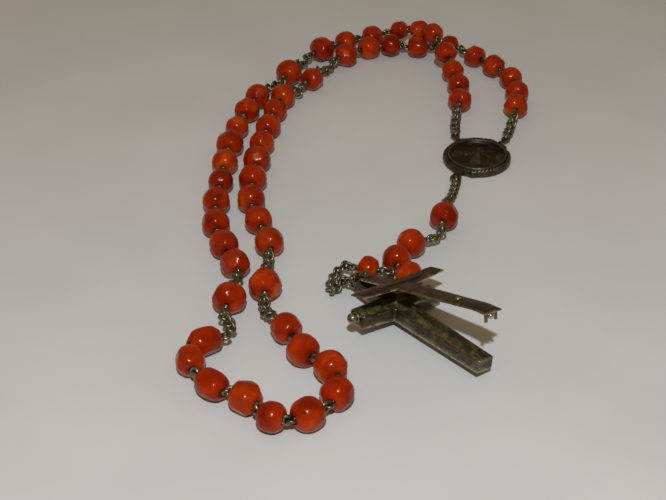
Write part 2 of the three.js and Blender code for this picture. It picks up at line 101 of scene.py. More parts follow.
# Chain joints: where two eyes interlock, and the heading away from the medal.
JOIN = {
    "medalRight": ((8.5, 9.7, 1.4), 75),
    "toDecade1": ((11.8, 20.5, 3.25), 75),
    "fromDecade1": ((-35.8, 56.1, 3.25), 230),
    "toPater1": ((-40.4, 47.3, 3.65), 270),
    "fromPater1": ((-45.5, 37.2, 3.65), 250),
    "toDecade2": ((-48.7, 35.1, 3.25), 200),
    "fromDecade2": ((-51.0, -49.6, 3.25), 270),
    "toPater2": ((-51.3, -57.5, 3.65), 270),
    "fromPater2": ((-51.1, -68.3, 3.65), 270),
    "toDecade3": ((-49.0, -74.4, 3.25), 305),
    "fromDecade3": ((-57.9, -81.2, 3.25), 0),
    "spacer6End": ((-57.5, -79.0, 3.25), 270),
    "medalLeft": ((-4.6, 11.6, 1.4), 84),
    "toDecade5": ((-3.0, 24.4, 3.25), 80),
    "fromDecade5": ((-43.4, 59.3, 3.25), 230),
    "toPater4": ((-47.4, 51.5, 3.65), 270),
    "fromPater4": ((-51.2, 41.1, 3.65), 270),
    "toDecade4": ((-55.8, 35.2, 3.25), 240),
    "fromDecade4": ((-57.5, -58.4, 3.25), 270),
    "toPater3": ((-58.0, -62.8, 3.65), 270),
    "fromPater3": ((-59.0, -73.5, 3.65), 270),
    "medalBottom": ((-6.4, -12.3, 1.4), 270),
    "toPater5": ((-10.1, -29.0, 3.65), 270),
    "fromPater5": ((-11.9, -39.4, 3.65), 270),
    "toPendantAves": ((-14.5, -43.4, 3.2), 215),
    "toPater6": ((-25.2, -56.7, 3.0), 167),
    "fromPater6": ((-33.0, -54.9, 3.0), 167),
    "toCross": ((-32.8, -61.1, 3.0), 309.7),
}

# Bead centres (x, y), z where a bead doesn't rest on the table, and a heading where it is skewed.
DECADES = {
    1: [
        (12.8, 25.1), (14.2, 34.0), (13.6, 43.3), (9.7, 51.6), (4.9, 58.8),
        (-2.0, 66.5), (-11.5, 65.7), (-19.6, 66.8), (-26.1, 64.8), (-32.9, 59.1),
    ],
    2: [
        (-50.5, 30.8), (-52.4, 22.4), (-53.8, 12.7), (-55.0, 3.3), (-55.8, -6.0),
        (-56.3, -15.8), (-56.2, -25.9), (-54.0, -35.4), (-51.1, -45.1),
    ],
    3: [
        (-46.2, -78.4), (-42.7, -85.8), (-37.2, -91.4), (-36.0, -99.5), (-41.4, -105.7),
        (-48.1, -106.5), (-53.2, -100.8), (-59.9, -96.7), (-64.7, -89.1), (-62.4, -82.7, 3.2, 30),
    ],
    4: [
        (-57.5, 30.8), (-59.9, 22.4), (-62.0, 12.7), (-63.1, 2.4), (-63.8, -7.2),
        (-64.1, -16.6), (-64.4, -26.6), (-63.7, -37.0), (-61.2, -46.2), (-58.2, -54.2),
    ],
    5: [
        (-2.0, 28.9), (-1.6, 38.6, 3.35), (-2.6, 47.0, 3.8), (-4.2, 54.9, 6.0), (-7.3, 63.6, 8.4),
        (-10.9, 71.8, 6.2), (-16.6, 75.7, 4.4), (-24.8, 74.6), (-33.0, 70.0), (-40.1, 63.0),
    ],
}
DECADE_BODY = {1: "medal", 2: "decade_2", 3: "decade_3", 4: "decade_4", 5: "decade_5"}
PENDANT_AVES = [(-19.2, -45.6, 3.25), (-22.7, -52.3, 3.25), (-20.3, -59.1, 3.35)]
PENDANT_TAIL = [(-22.0, -63.6, 2.0), (-25.0, -60.2, 1.6)]
LAST_CHAIN = [(-36.3, -55.6, 1.9), (-37.6, -58.6, 1.1), (-36.9, -63.2, 1.1), (-35.2, -59.6, 2.5)]

# Spacer chains: number -> joints at its ends, points between them, and body.
SPACERS = {
    1: ("medalRight", "toDecade1", [(10.2, 15.5, 1.0)], "medal"),
    2: ("fromDecade1", "toPater1", [(-38.6, 51.4, 1.4)], "medal"),
    3: ("fromPater1", "toDecade2", [(-46.6, 34.8, 2.4)], "decade_2"),
    4: ("fromDecade2", "toPater2", [(-51.1, -53.6, 1.6)], "decade_2"),
    5: ("fromPater2", "toDecade3", [(-50.6, -71.6, 1.8)], "decade_3"),
    6: ("fromPater3", "spacer6End", [], "pater_3"),
    7: ("fromDecade4", "toPater3", [], "decade_4"),
    8: ("fromPater4", "toDecade4", [], "decade_4"),
    9: ("fromDecade5", "toPater4", [(-45.8, 55.3, 1.6)], "decade_5"),
    10: ("medalLeft", "toDecade5", [(-4.3, 17.2, 1.0)], "decade_5"),
    11: ("medalBottom", "toPater5", [(-8.0, -20.5, 1.0)], "pendant"),
    12: ("fromPater5", "toPendantAves", [], "pater_5"),
    13: ("fromPater6", "toCross", LAST_CHAIN, "pendant_aves"),
}
PATER_BODY = {
    1: "pater_1", 2: "pater_2", 3: "pater_3", 4: "pater_4", 5: "pater_5", 6: "pendant_aves",
}

# Hollow cross, in its own frame: +X hinge to foot, +Y along arm B, +Z out of the open side.
# Arms cross at head. root, tip and toe are half widths where they cross, at the arms' ends and
# the head's end, and at the foot.
CROSS = {
    "start": 0, "head": 10.8, "foot": 36.8, "arm_a": 10.8, "arm_b": 11.3,
    "root": 2.6, "tip": 2.0, "toe": 2.0,
}
CORNER, SIDE_STEP = 0.16, 0.8  # rounding of its corners, and spacing of points along its sides
TRAY_DEPTH, TRAY_WALL = 2.95, 0.5
CROSS_AT, CROSS_YAW, CROSS_ROLL = (-30.8, -62.6, 1.81), -50.3, -8.5
HINGE_X, HINGE_Z = -0.95, 3.15
LID = {"start": 1.2, "foot": 37.7, "arm_a": 11.1, "arm_b": 11.7, "toe": 2.3}
LID_OPEN = 15.2  # degrees
LID_LOW = 3.25  # height of the shut lid's underside in the cross's frame

# Medal.
MEDAL_HALF = (8.6, 9.4)  # half width and half height
MEDAL_REACH = 8.62  # distance inwards at which its rings would close to a point
MEDAL_AROUND = 216  # points round it
MEDAL_TURN = -13  # degrees
BORDER, PEARLS = 0.95, 54  # width of the beaded border, and its number of beads
CRISP_AT = 300  # degrees round to where the border is least worn
LUG_WIRE = 0.34
# Joint, radius of the root and radius of the wire of each ring.
MEDAL_LUGS = (
    ("medalRight", 0.62, LUG_WIRE), ("medalLeft", 0.62, LUG_WIRE), ("medalBottom", 0.9, 0.46),
)
LOBE_REACH = 1.6  # distance inwards at which the swellings of the outline have died away
# Degrees round, share of the radius and width in degrees of each swelling.
MEDAL_LOBES = [
    (73, 0.085, 11), (100, 0.05, 15), (128, 0.075, 11), (31, -0.075, 4),
    (42, 0.055, 5), (271, 0.045, 6), (180, 0.012, 12), (238, 0.03, 9),
]


# ---------------------------------------------------------------- shapes


class Shell:
    """Points in millimetres with a value each (wear on metal, darkening into the bore on coral), and
    faces with a material number each.
    """

    def __init__(self):
        self.points, self.wear, self.faces, self.slots = [], [], [], []

    def add(self, points, faces, wear=0.5, slot=0):
        base = len(self.points)
        self.points += [Vector(p) for p in points]
        self.wear += list(wear) if isinstance(wear, (list, tuple)) else [wear] * len(points)
        self.faces += [[base + i for i in f] for f in faces]
        self.slots += list(slot) if isinstance(slot, (list, tuple)) else [slot] * len(faces)
        return self

    def moved(self, matrix):
        self.points = [matrix @ p for p in self.points]


def make_piece(name, shell, materials, body, replaces=(), *, sharp, tint=None):
    """A visible piece from a shell, with hard edges above the angle sharp."""
    mesh = bpy.data.meshes.new(name)
    mesh.from_pydata([p * MM for p in shell.points], [], shell.faces)
    for material in materials:
        mesh.materials.append(material)
    mesh.polygons.foreach_set("material_index", shell.slots)
    mesh.attributes.new("wear", "FLOAT", "POINT").data.foreach_set("value", shell.wear)
    work = bmesh.new()
    work.from_mesh(mesh)
    bmesh.ops.recalc_face_normals(work, faces=work.faces)
    work.to_mesh(mesh)
    work.free()
    mesh.shade_smooth()
    mesh.set_sharp_from_angle(angle=math.radians(sharp))
    piece = bpy.data.objects.new(name, mesh)
    bpy.context.scene.collection.objects.link(piece)
    if tint:
        piece.color = (*tint, 1)
    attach(piece, body)
    if replaces:
        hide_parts(*replaces)


def bands(rows, around, closed=False):
    """Quads between neighbouring rings of points."""
    faces = []
    for i in range(rows if closed else rows - 1):
        j = (i + 1) % rows
        for k in range(around):
            m = (k + 1) % around
            faces.append([i * around + k, i * around + m, j * around + m, j * around + k])
    return faces


def caps(rows, around):
    """Faces over the first and the last ring."""
    return [list(range(around))[::-1], list(range((rows - 1) * around, rows * around))]


def transported(path, closed):
    """Tangent and a normal that doesn't spin, at each point of a path."""
    n = len(path)
    tangents = []
    for i in range(n):
        before = path[i - 1] if closed or i > 0 else path[i]
        after = path[(i + 1) % n] if closed or i < n - 1 else path[i]
        tangents.append((after - before).normalized())
    normal = tangents[0].orthogonal().normalized()
    normals = []
    for t in tangents:
        normal = (normal - t * normal.dot(t)).normalized()
        normals.append(normal)
    if closed:
        last = (normals[-1] - tangents[0] * normals[-1].dot(tangents[0])).normalized()
        gap = math.atan2(last.cross(normals[0]).dot(tangents[0]), last.dot(normals[0]))
        normals = [
            Matrix.Rotation(gap * i / n, 3, tangents[i]) @ normals[i] for i in range(n)
        ]
    return tangents, normals


def tube(shell, path, radius, sides=8, closed=False, wear=0.5):
    path = [Vector(p) for p in path]
    tangents, normals = transported(path, closed)
    points = []
    for p, t, u in zip(path, tangents, normals):
        v = t.cross(u)
        for k in range(sides):
            a = 2 * math.pi * k / sides
            points.append(p + (u * math.cos(a) + v * math.sin(a)) * radius)
    faces = bands(len(path), sides, closed)
    if not closed:
        faces += caps(len(path), sides)
    shell.add(points, faces, wear)


def lathe(shell, profile, at, axis, sides, wear):
    """Turns a profile of (distance along the axis, radius); a radius of 0 closes an end."""
    axis = Vector(axis).normalized()
    u = axis.orthogonal().normalized()
    v = axis.cross(u)
    at = Vector(at)
    points, rows, shades = [], [], []
    wears = wear if isinstance(wear, (list, tuple)) else [wear] * len(profile)
    for (x, r), w in zip(profile, wears):
        row = []
        for k in range(sides if r > 1e-6 else 1):
            a = 2 * math.pi * k / sides
            row.append(len(points))
            points.append(at + axis * x + (u * math.cos(a) + v * math.sin(a)) * r)
            shades.append(w)
        rows.append(row)
    faces = []
    for low, high in zip(rows, rows[1:]):
        for k in range(sides):
            m = (k + 1) % sides
            if len(low) == 1:
                faces.append([low[0], high[m], high[k]])
            elif len(high) == 1:
                faces.append([low[k], low[m], high[0]])
            else:
                faces.append([low[k], low[m], high[m], high[k]])
    shell.add(points, faces, shades)


def ball(radius, steps):
    """Profile of a ball from one pole to the other."""
    angles = [math.radians(-90 + 180 * i / steps) for i in range(steps + 1)]
    return [(radius * math.sin(a), max(0.0, radius * math.cos(a))) for a in angles]


def loft(shell, rings, wears, slots=None):
    """Joins closed rings of equal length. One wear for each ring, one slot for each band."""
    n = len(rings[0])
    slots = slots or [0] * (len(rings) - 1)
    points = [p for ring in rings for p in ring]
    shades = [w for w in wears for _ in range(n)]
    marks = [s for s in slots for _ in range(n)] + [slots[0], slots[-1]]
    shell.add(points, bands(len(rings), n) + caps(len(rings), n), shades, marks)


def soft_box(shell, x, y, z, bevel, wear):
    """Box between limits with bevelled edges, as a loft along z."""
    def ring(inset, height):
        corners = []
        for sx, sy in ((0, 0), (1, 0), (1, 1), (0, 1)):
            cx = x[sx] + (inset if sx == 0 else -inset)
            cy = y[sy] + (inset if sy == 0 else -inset)
            dx = bevel * (1 if sx == 0 else -1)
            dy = bevel * (1 if sy == 0 else -1)
            pair = [Vector((cx + dx, cy, height)), Vector((cx, cy + dy, height))]
            corners += pair[::-1] if (sx, sy) in ((0, 0), (1, 1)) else pair
        return corners
    rings = [ring(bevel, z[0]), ring(0, z[0] + bevel), ring(0, z[1] - bevel), ring(bevel, z[1])]
    edge = min(1, wear + 0.3)
    loft(shell, rings, [edge, wear, wear, edge])


# ---------------------------------------------------------------- wire and chain


def eyes(name):
    """Centres and feet of the two interlocked eyes of a chain joint."""
    at, heading = JOIN[name]
    along = Vector((math.cos(math.radians(heading)), math.sin(math.radians(heading)), 0))
    across = Vector((-along.y, along.x, 0))
    inner = Vector(at) - along * (EYE_RADIUS / 2)
    outer = Vector(at) + along * (EYE_RADIUS / 2)
    return {
        "inner": {"centre": inner, "foot": inner - along * EYE_RADIUS, "normal": UP},
        "outer": {"centre": outer, "foot": outer + along * EYE_RADIUS, "normal": across},
    }


def ring_path(centre, normal, radius, start, count=20):
    """Points round a ring, from the side that faces start."""
    first = start - centre
    first = (first - normal * first.dot(normal)).normalized()
    side = normal.cross(first)
    angles = [2 * math.pi * i / count for i in range(count)]
    return [centre + (first * math.cos(a) + side * math.sin(a)) * radius for a in angles]


def add_eye(shell, eye, wire=EYE_WIRE, radius=EYE_RADIUS, count=20, wear=0.6):
    path = ring_path(eye["centre"], eye["normal"], radius, eye["foot"], count)
    tube(shell, path, wire, 8, True, wear)


def add_wrap(shell, start, end, radius, wire, turns):
    """Wire wound round a shank between two points."""
    along = end - start
    t = along.normalized()
    u = t.orthogonal().normalized()
    v = t.cross(u)
    steps = max(6, int(turns * 10))
    path = []
    for i in range(steps + 1):
        a = 2 * math.pi * turns * i / steps
        path.append(start + along * (i / steps) + (u * math.cos(a) + v * math.sin(a)) * radius)
    tube(shell, path, wire, 6, False, 0.7)


def resampled(route, step):
    """Points a fixed step apart along a smoothed route, with its length spread evenly."""
    line = [Vector(p) for p in route]
    for _ in range(3):
        finer = [line[0]]
        for a, b in zip(line, line[1:]):
            finer += [a.lerp(b, 0.25), a.lerp(b, 0.75)]
        line = finer + [line[-1]]
    lengths = [(b - a).length for a, b in zip(line, line[1:])]
    count = max(1, round(sum(lengths) / step))
    gap = sum(lengths) / count
    found, i, done = [], 0, 0.0
    for k in range(count + 1):
        want = min(k * gap, sum(lengths) - 1e-6)
        while done + lengths[i] < want:
            done += lengths[i]
            i += 1
        found.append(line[i].lerp(line[i + 1], (want - done) / lengths[i]))
    return found


def curb_link(shell, centre, along, normal, size, wire):
    """One oval link turned about its own length."""
    half_length, half_width = size
    across = along.cross(normal)
    path = []
    for i in range(16):
        a = 2 * math.pi * i / 16
        x = half_length * math.cos(a)
        y = half_width * math.sin(a)
        turn = LINK_TWIST * x / half_length
        path.append(centre + along * x + (across * math.cos(turn) + normal * math.sin(turn)) * y)
    tube(shell, path, wire, 6, True, 0.55)


def make_chain(number):
    start, end, via, body = SPACERS[number]
    rng = random.Random(100 + number)
    shell = Shell()
    first, last = eyes(start)["outer"], eyes(end)["inner"]
    add_eye(shell, first)
    add_eye(shell, last)
    fine = FINE_CHAINS.get(number, 1)
    stops = resampled([first["foot"], *via, last["foot"]], LINK_PITCH * fine)
    tangents, normals = transported(stops, False)
    for i, (p, t, n) in enumerate(zip(stops, tangents, normals)):
        roll = math.radians(45 + 90 * (i % 2)) + rng.uniform(-0.18, 0.18)
        turned = Matrix.Rotation(roll, 3, t) @ n
        centre = p + Vector((0, 0, rng.uniform(-0.06, 0.06)))
        centre.z = max(centre.z, (LINK[1] + LINK_WIRE) * fine)
        curb_link(shell, centre, t, turned, (LINK[0] * fine, LINK[1] * fine), LINK_WIRE * fine)
    if number == LOOSE_CHAIN:
        curb_link(shell, last["centre"], tangents[-1], UP, LOOSE_LINK, LINK_WIRE)
    make_piece(
        f"chain_{number:02d}", shell, [WIRE_SILVER], body,
        [f"spacer_{number:02d}"], sharp=80,
    )


# ---------------------------------------------------------------- beads


def bead_shell(centre, axis, diameter, length, seed, cut):
    """A hand-cut barrel bead with a countersunk bore."""
    rng = random.Random(seed)
    radius, half = diameter / 2, length / 2
    sides, rows = BEAD_SIDES, BEAD_ROWS
    bluntness = rng.uniform(0.78, 0.92)
    fullness = rng.uniform(0.74, 0.9)
    outer = []
    for i in range(rows + 1):
        a = math.radians(-BEAD_POLE + 2 * BEAD_POLE * i / rows)
        x = half * math.copysign(abs(math.sin(a)) ** bluntness, math.sin(a))
        outer.append((x, radius * math.cos(a) ** fullness))
    end, face = outer[-1]
    into = [
        (end + 0.02, face * 0.8), (end - 0.02, BORE + 0.3),
        (end - 0.12, BORE + 0.1), (end - 0.4, BORE),
    ]
    profile = [(-x, r) for x, r in into[::-1]] + outer + into
    # Darker deeper into the bore and round its mouth: 1 deepest in, 0 on the outside.
    bore_darkening = [1, 0.8, 0.4, 0.18] + [0.06] + [0] * (rows - 1) + [0.06] + [0.18, 0.4, 0.8, 1]
    squeeze = rng.uniform(0.965, 1.0)
    lean = rng.uniform(-0.05, 0.05)
    points = []
    for x, r in profile:
        for k in range(sides):
            a = 2 * math.pi * k / sides
            y, z = r * math.cos(a) * squeeze, r * math.sin(a)
            points.append(Vector((x + lean * y, y, z)))
    skin = range(4 * sides, (4 + rows + 1) * sides)
    planes = []
    for tilt, count in ((0, rng.randint(6, 8)), (43, rng.randint(5, 6)), (-43, rng.randint(5, 6))):
        start = rng.uniform(0, 2 * math.pi)
        for k in range(count):
            a = start + 2 * math.pi * (k + rng.uniform(-0.22, 0.22)) / count
            t = math.radians(tilt + rng.uniform(-14, 14))
            flat = math.cos(t)
            planes.append(Vector((math.sin(t), flat * math.cos(a), flat * math.sin(a))))
    for plane in planes:
        reach = max(plane.dot(points[i]) for i in skin)
        limit = reach - radius * cut * rng.uniform(0.5, 1.3)
        for i in skin:
            over = plane.dot(points[i]) - limit
            if over > 0:
                points[i] -= plane * over * FACET_FLATNESS
    offset = Vector((seed * 3.7, seed * 1.3, 0))
    for i in skin:
        p = points[i]
        swell, grain = noise.noise(p * 0.35 + offset), noise.noise(p * 1.6 + offset)
        points[i] = p * (1 + 0.022 * swell + 0.004 * grain)
    turn = Vector((1, 0, 0)).rotation_difference(axis).to_matrix()
    roll = Matrix.Rotation(rng.uniform(0, 6.28), 3, "X")
    shades = [g for g in bore_darkening for _ in range(sides)]
    faces = bands(len(profile), sides, True)
    return Shell().add([centre + turn @ (roll @ p) for p in points], faces, shades)


# Multiplied with the coral's colour, bead by bead.
CORAL_TINTS = [
    (1.0, 1.0, 1.0), (0.94, 0.82, 0.8), (1.08, 1.25, 1.0), (0.97, 0.9, 0.9), (1.1, 1.5, 1.0),
    (0.88, 0.72, 0.75), (1.03, 1.12, 1.0), (0.98, 0.95, 0.9),
]


def make_bead(name, centre, axis, size, seed, body, replaces):
    rng = random.Random(seed * 7 + 1)
    shell = bead_shell(centre, axis, *size, seed, rng.choice(FACET_DEPTHS))
    tint = CORAL_TINTS[seed % len(CORAL_TINTS)]
    make_piece(name, shell, [CORAL], body, replaces, sharp=19, tint=tint)


def bore_ends(centre, axis, size):
    """Where the wire comes out of a bead, before and after it."""
    half = size[1] / 2 - EXIT_INSET
    return centre - axis * half, centre + axis * half


def make_pin(name, near, far, exits, centre, body, replaces):
    """Wire through one bead, with a closed eye and a short wrap at each end."""
    shell = Shell()
    tube(shell, [near["foot"], exits[0], centre, exits[1], far["foot"]], PIN_WIRE, 8, False, 0.5)
    for eye, out in ((near, exits[0]), (far, exits[1])):
        add_eye(shell, eye, eye.get("wire", EYE_WIRE), eye.get("radius", EYE_RADIUS), 18, 0.65)
        shank = (eye["foot"] - out).length
        if shank > SHORTEST_SHANK:
            start = out.lerp(eye["foot"], 0.18)
            turns = min(MOST_TURNS, shank / WRAP_PITCH)
            add_wrap(shell, start, eye["foot"], PIN_WIRE + WRAP_OFFSET, WRAP_WIRE, turns)
    make_piece(name, shell, [WIRE_SILVER], body, replaces, sharp=80)


def gap_eyes(a, b, rng, least):
    """The two interlocked eyes between two neighbouring beads, whose bores end at a and b."""
    along = b - a
    gap = along.length
    t = along.normalized()
    radius = min(LARGEST_GAP_EYE, max(least, (gap - 0.4) / 3.5))
    wire = 0.44 * least
    apart = 1.8 * (radius - wire)
    middle = a.lerp(b, 0.5)
    flat = (UP - t * UP.dot(t)).normalized()
    first = Matrix.Rotation(rng.uniform(-0.6, 0.6), 3, t) @ flat
    second = t.cross(first)
    one = {"centre": middle - t * apart / 2, "normal": first, "radius": radius, "wire": wire}
    two = {"centre": middle + t * apart / 2, "normal": second, "radius": radius, "wire": wire}
    one["foot"] = one["centre"] - t * radius
    two["foot"] = two["centre"] + t * radius
    return one, two


def make_strand(label, places, first, last, sizes, body, bead_node, wire_node, seed):
    """Beads on separate eye pins whose eyes interlock, between two given eyes.

    bead_node gives a bead's node for its number, or is None where beads and wire are one node.
    """
    rng = random.Random(seed)
    centres = []
    for i, p in enumerate(places):
        lowest = SPIN_HEIGHT if label == "d3" else sizes[i][0] / 2
        centres.append(Vector((p[0], p[1], p[2] if len(p) > 2 else lowest)))
    line = [first["foot"], *centres, last["foot"]]
    axes = [(line[i + 2] - line[i]).normalized() for i in range(len(centres))]
    for i, p in enumerate(places):
        if len(p) > 3:
            axes[i] = Vector((math.cos(math.radians(p[3])), math.sin(math.radians(p[3])), 0))
    exits = [bore_ends(c, axis, size) for c, axis, size in zip(centres, axes, sizes)]
    least = TIGHT_GAP_EYE if label in TIGHT_STRANDS else GAP_EYE
    pairs = [gap_eyes(exits[i][1], exits[i + 1][0], rng, least) for i in range(len(centres) - 1)]
    for i, c in enumerate(centres):
        near = first if i == 0 else pairs[i - 1][1]
        far = last if i == len(centres) - 1 else pairs[i][0]
        tag = f"{label}_{i + 1:02d}"
        own = bead_node(i + 1) if bead_node else None
        make_bead(f"bead_{tag}", c, axes[i], sizes[i], seed * 10 + i, own or body, [own or wire_node])
        make_pin(f"pin_{tag}", near, far, exits[i], c, body, [wire_node])


# ---------------------------------------------------------------- materials


def new_material(name):
    material = bpy.data.materials.new(name)
    material.use_nodes = True
    tree = material.node_tree
    shader = tree.nodes["Principled BSDF"]
    return material, tree, shader


def node(tree, kind, **settings):
    made = tree.nodes.new(kind)
    for key, value in settings.items():
        setattr(made, key, value)
    return made


def noise_of(tree, scale, detail, roughness, distortion=0.0):
    coords = node(tree, "ShaderNodeTexCoord")
    made = node(tree, "ShaderNodeTexNoise")
    made.inputs["Scale"].default_value = scale
    made.inputs["Detail"].default_value = detail
    made.inputs["Roughness"].default_value = roughness
    made.inputs["Distortion"].default_value = distortion
    tree.links.new(coords.outputs["Object"], made.inputs["Vector"])
    return made.outputs["Fac"]


def ramp(tree, source, stops):
    made = node(tree, "ShaderNodeValToRGB")
    elements = made.color_ramp.elements
    while len(elements) < len(stops):
        elements.new(0.5)
    for element, (place, colour) in zip(elements, stops):
        element.position = place
        element.color = (*colour, 1)
    tree.links.new(source, made.inputs["Fac"])
    return made.outputs["Color"]


def span(tree, source, low, high, to_low, to_high):
    made = node(tree, "ShaderNodeMapRange")
    limits = {"From Min": low, "From Max": high, "To Min": to_low, "To Max": to_high}
    for key, value in limits.items():
        made.inputs[key].default_value = value
    tree.links.new(source, made.inputs["Value"])
    return made.outputs["Result"]


def mix(tree, factor, a, b, mode="MIX"):
    made = node(tree, "ShaderNodeMix", data_type="RGBA", blend_type=mode)
    for socket, value in zip((made.inputs["Factor"], made.inputs[6], made.inputs[7]), (factor, a, b)):
        if isinstance(value, float):
            socket.default_value = value
        elif isinstance(value, tuple):
            socket.default_value = (*value, 1)
        else:
            tree.links.new(value, socket)
    return made.outputs[2]


def product(tree, a, b):
    made = node(tree, "ShaderNodeMath", operation="MULTIPLY", use_clamp=True)
    tree.links.new(a, made.inputs[0])
    tree.links.new(b, made.inputs[1])
    return made.outputs[0]


def bump(tree, shader, height, strength, distance):
    made = node(tree, "ShaderNodeBump")
    made.inputs["Strength"].default_value = strength
    made.inputs["Distance"].default_value = distance
    tree.links.new(height, made.inputs["Height"])
    tree.links.new(made.outputs["Normal"], shader.inputs["Normal"])


# The value stored on each point: wear on metal, darkening into the bore on coral.
def wear_of(tree):
    return node(tree, "ShaderNodeAttribute", attribute_name="wear").outputs["Fac"]


def coral_material():
    material, tree, shader = new_material("coral")
    broad = noise_of(tree, 210, 3, 0.5, 0.4)
    fine = noise_of(tree, 1500, 4, 0.65)
    colour = ramp(tree, broad, [
        (0.28, (0.17, 0.0065, 0.0004)), (0.45, (0.31, 0.015, 0.0006)),
        (0.6, (0.43, 0.028, 0.0008)), (0.75, (0.60, 0.07, 0.002)),
    ])
    mottled = mix(tree, span(tree, fine, 0.35, 0.7, 0.0, 0.4), colour, (0.29, 0.014, 0.0006))
    tint = node(tree, "ShaderNodeObjectInfo").outputs["Color"]
    tinted = mix(tree, 1.0, mottled, tint, "MULTIPLY")
    # Darker brown deeper into each bead's bore, by the value on its points, broken up by noise.
    bore_darkening = product(tree, wear_of(tree), span(tree, fine, 0.3, 0.6, 0.7, 1.0))
    final = mix(tree, bore_darkening, tinted, (0.045, 0.012, 0.006))
    tree.links.new(final, shader.inputs["Base Color"])
    tree.links.new(span(tree, fine, 0.3, 0.75, 0.15, 0.27), shader.inputs["Roughness"])
    shader.inputs["Specular IOR Level"].default_value = 0.32
    shader.inputs["Specular Tint"].default_value = (1.0, 0.62, 0.36, 1)
    shader.inputs["Subsurface Weight"].default_value = 0.08
    shader.inputs["Subsurface Radius"].default_value = (1.0, 0.25, 0.1)
    shader.inputs["Subsurface Scale"].default_value = 0.0006
    shader.inputs["IOR"].default_value = 1.55
    bump(tree, shader, noise_of(tree, 900, 5, 0.6), 0.25, 0.00006)
    return material


def silver_material(name, dark, bright, patina, patina_from, rough=(0.5, 0.26), rub=0.12):
    """Oxidised metal: bright where it is worn, dark in the hollows, with patches of patina.

    patina_from is the noise above which patina lies, rough the roughness from unworn to worn,
    and rub how far rubbed patches go towards bright.
    """
    material, tree, shader = new_material(name)
    broad = noise_of(tree, 330, 4, 0.6, 0.3)
    fine = noise_of(tree, 2200, 4, 0.65)
    worn = product(tree, wear_of(tree), span(tree, fine, 0.3, 0.7, 0.45, 1.25))
    colour = mix(tree, worn, dark, bright)
    patches = span(tree, broad, patina_from, patina_from + 0.14, 0.0, 0.85)
    colour = mix(tree, patches, colour, patina)
    stains = noise_of(tree, 300, 5, 0.66, 1.2)
    rubbed = mix(tree, span(tree, stains, 0.52, 0.66, 0.0, rub), colour, bright)
    colour = mix(tree, span(tree, stains, 0.34, 0.48, 0.75, 0.0), rubbed, dark)
    tree.links.new(colour, shader.inputs["Base Color"])
    tree.links.new(span(tree, worn, 0.0, 1.0, *rough), shader.inputs["Roughness"])
    shader.inputs["Metallic"].default_value = 1.0
    bump(tree, shader, noise_of(tree, 1300, 6, 0.62), 0.35, 0.00008)
    return material


def crust_material():
    """Old wax and tarnish inside the cross."""
    material, tree, shader = new_material("crust")
    broad = noise_of(tree, 420, 5, 0.6, 0.5)
    colour = ramp(tree, broad, [
        (0.3, (0.022, 0.016, 0.005)), (0.46, (0.055, 0.045, 0.013)),
        (0.58, (0.12, 0.105, 0.034)), (0.72, (0.25, 0.225, 0.09)),
    ])
    tree.links.new(colour, shader.inputs["Base Color"])
    tree.links.new(span(tree, broad, 0.3, 0.7, 0.75, 0.45), shader.inputs["Roughness"])
    shader.inputs["Metallic"].default_value = 0.35
    bump(tree, shader, noise_of(tree, 1700, 6, 0.65), 0.6, 0.00015)
    return material


def floor_material():
    material, tree, shader = new_material("paper")
    broad = noise_of(tree, 30, 4, 0.5)
    colour = ramp(tree, broad, [(0.35, (0.70, 0.70, 0.695)), (0.65, (0.74, 0.74, 0.735))])
    tree.links.new(colour, shader.inputs["Base Color"])
    shader.inputs["Roughness"].default_value = 0.85
    bump(tree, shader, noise_of(tree, 600, 5, 0.6), 0.1, 0.0001)
    return material


CORAL = coral_material()
WIRE_SILVER = silver_material(
    "wire_silver", (0.05, 0.04, 0.017), (0.46, 0.42, 0.29), (0.11, 0.09, 0.036), 0.52)
MEDAL_SILVER = silver_material(
    "medal_silver", (0.022, 0.018, 0.012), (0.32, 0.29, 0.21), (0.075, 0.06, 0.033), 0.56,
    (0.46, 0.26), 0.3)
CROSS_SILVER = silver_material(
    "cross_silver", (0.036, 0.027, 0.018), (0.5, 0.43, 0.31), (0.11, 0.085, 0.034), 0.5,
    (0.4, 0.22), 0.3)
BRIGHT_SILVER = silver_material(
    "bright_silver", (0.14, 0.115, 0.07), (0.62, 0.57, 0.46), (0.22, 0.16, 0.08), 0.58,
    (0.42, 0.24))
CRUST = crust_material()


# ---------------------------------------------------------------- medal


def capsule(x, y, ax, ay, bx, by, ra, rb):
    """Distance inside a tapered rounded bar, positive inside."""
    dx, dy = bx - ax, by - ay
    t = max(0.0, min(1.0, ((x - ax) * dx + (y - ay) * dy) / (dx * dx + dy * dy)))
    return ra + (rb - ra) * t - math.hypot(x - ax - dx * t, y - ay - dy * t)


def smooth(value, low, high):
    t = max(0.0, min(1.0, (value - low) / (high - low)))
    return t * t * (3 - 2 * t)


def turn_between(angle, at):
    """Degrees from a heading to an angle in radians, within half a turn."""
    return (math.degrees(angle) - at + 180) % 360 - 180


